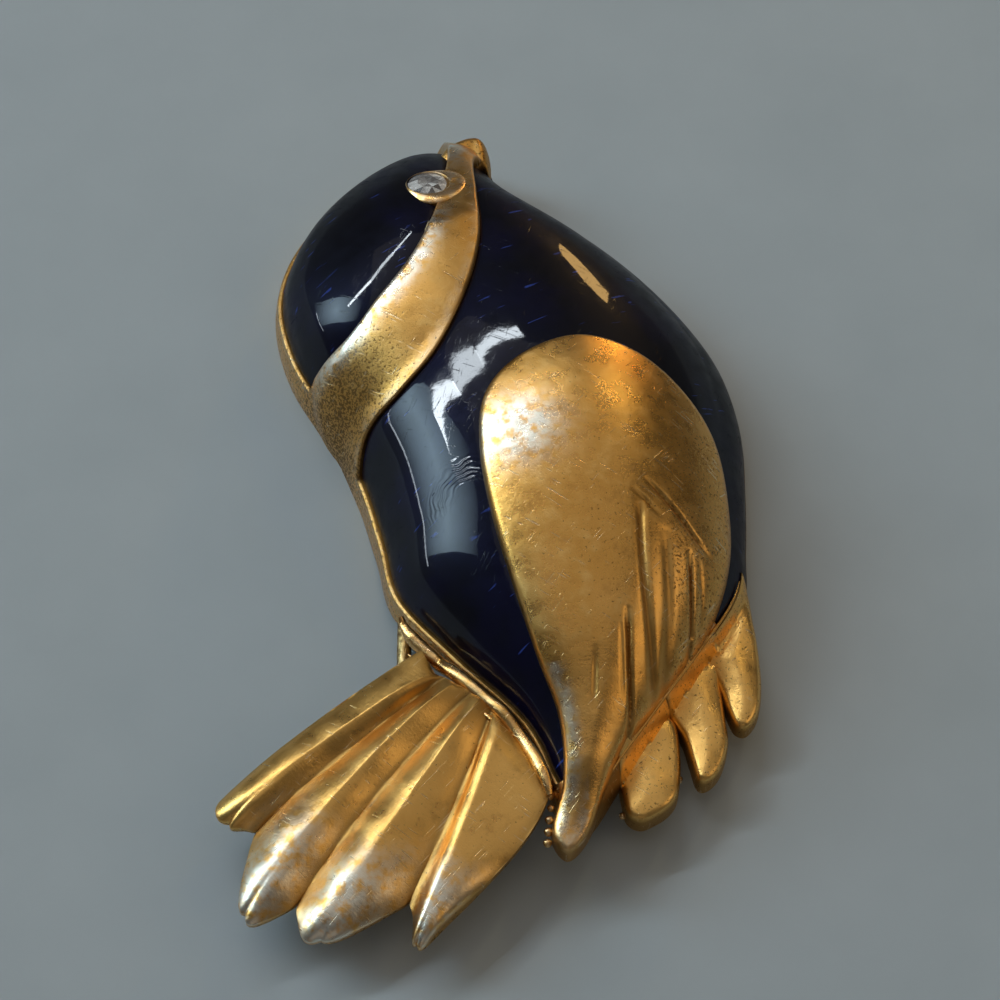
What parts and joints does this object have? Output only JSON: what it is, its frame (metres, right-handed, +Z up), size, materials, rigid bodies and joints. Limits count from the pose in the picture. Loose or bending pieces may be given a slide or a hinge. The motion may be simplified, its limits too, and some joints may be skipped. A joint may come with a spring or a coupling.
{
  "type": "animal brooch",
  "caption": "Figural brooch in the form of a plump bird: hollow-backed metal casting with a fan tail, dark enamel fields, a faceted eye stone and a pin.",
  "frame": {"origin": "middle of the bounding box's bottom, on the surface that the brooch lies on", "axes": "+Z up out of the bird's face side, +Y from the tail to the head, +X from the back to the breast"},
  "size_m": [0.0288, 0.0524, 0.01],
  "materials": {
    "gold_casting": "satin antique gold tone, worn and tarnished",
    "enamel": "glossy dark blue, finely scratched",
    "stone": "faceted, foil backed",
    "pin_metal": "dull, mottled"
  },
  "bodies": {
    "root": {"casting": "gold_casting", "crown_enamel": "enamel", "body_enamel": "enamel", "eye_stone": "stone", "pin": "pin_metal"}
  },
  "joints": []
}
